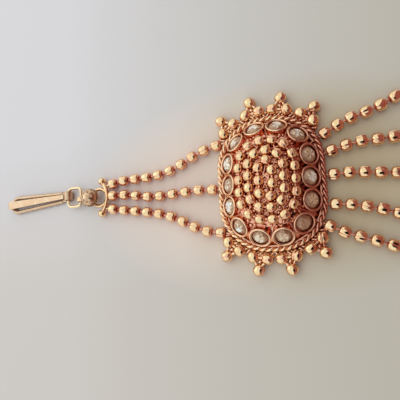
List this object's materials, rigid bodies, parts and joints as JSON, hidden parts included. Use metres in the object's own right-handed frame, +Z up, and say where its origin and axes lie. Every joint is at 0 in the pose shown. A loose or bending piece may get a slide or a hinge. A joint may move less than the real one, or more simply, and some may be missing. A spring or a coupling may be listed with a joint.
{
  "type": "jhoomar headpiece",
  "caption": "Side headpiece lying flat: a folded hair hook joined by ball chains to a domed cushion-shaped medallion with collet-set stones and ball clusters, with loose ball chains beyond it.",
  "frame": {"origin": "middle of the laid-out piece in plan, on the surface that it lies on", "axes": "+X from the hair hook towards the free chain ends, +Y across towards the upper chains, +Z up out of the medallion's face"},
  "size_m": [0.1248, 0.0476, 0.009],
  "materials": {
    "rose_gold": "polished rose-gold plate",
    "copper_link": "polished rose-gold plate in shade",
    "pale_gold": "polished pale gold plate",
    "clear_stone": "faceted, foil backed"
  },
  "bodies": {
    "root": {"chain_left_lower_beads": "rose_gold", "chain_left_lower_links": "copper_link", "chain_left_middle_beads": "rose_gold", "chain_left_middle_links": "copper_link", "chain_left_upper_beads": "rose_gold", "chain_left_upper_links": "copper_link", "chain_right_1_beads": "rose_gold", "chain_right_1_links": "copper_link", "chain_right_2_beads": "rose_gold", "chain_right_2_links": "copper_link", "chain_right_3_beads": "rose_gold", "chain_right_3_links": "copper_link", "chain_right_4_beads": "rose_gold", "chain_right_4_links": "copper_link", "chain_right_5_beads": "rose_gold", "chain_right_5_links": "copper_link", "chain_spacer": "rose_gold", "connector": "rose_gold", "hair_hook": "pale_gold", "hook_ring": "pale_gold", "medallion": "rose_gold", "rope_border": "rose_gold", "stone_01": "clear_stone", "stone_02": "clear_stone", "stone_03": "clear_stone", "stone_04": "clear_stone", "stone_05": "clear_stone", "stone_06": "clear_stone", "stone_07": "clear_stone", "stone_08": "clear_stone", "stone_09": "clear_stone", "stone_10": "clear_stone", "stone_11": "clear_stone", "stone_12": "clear_stone", "stone_13": "clear_stone", "stone_14": "clear_stone"}
  },
  "joints": []
}
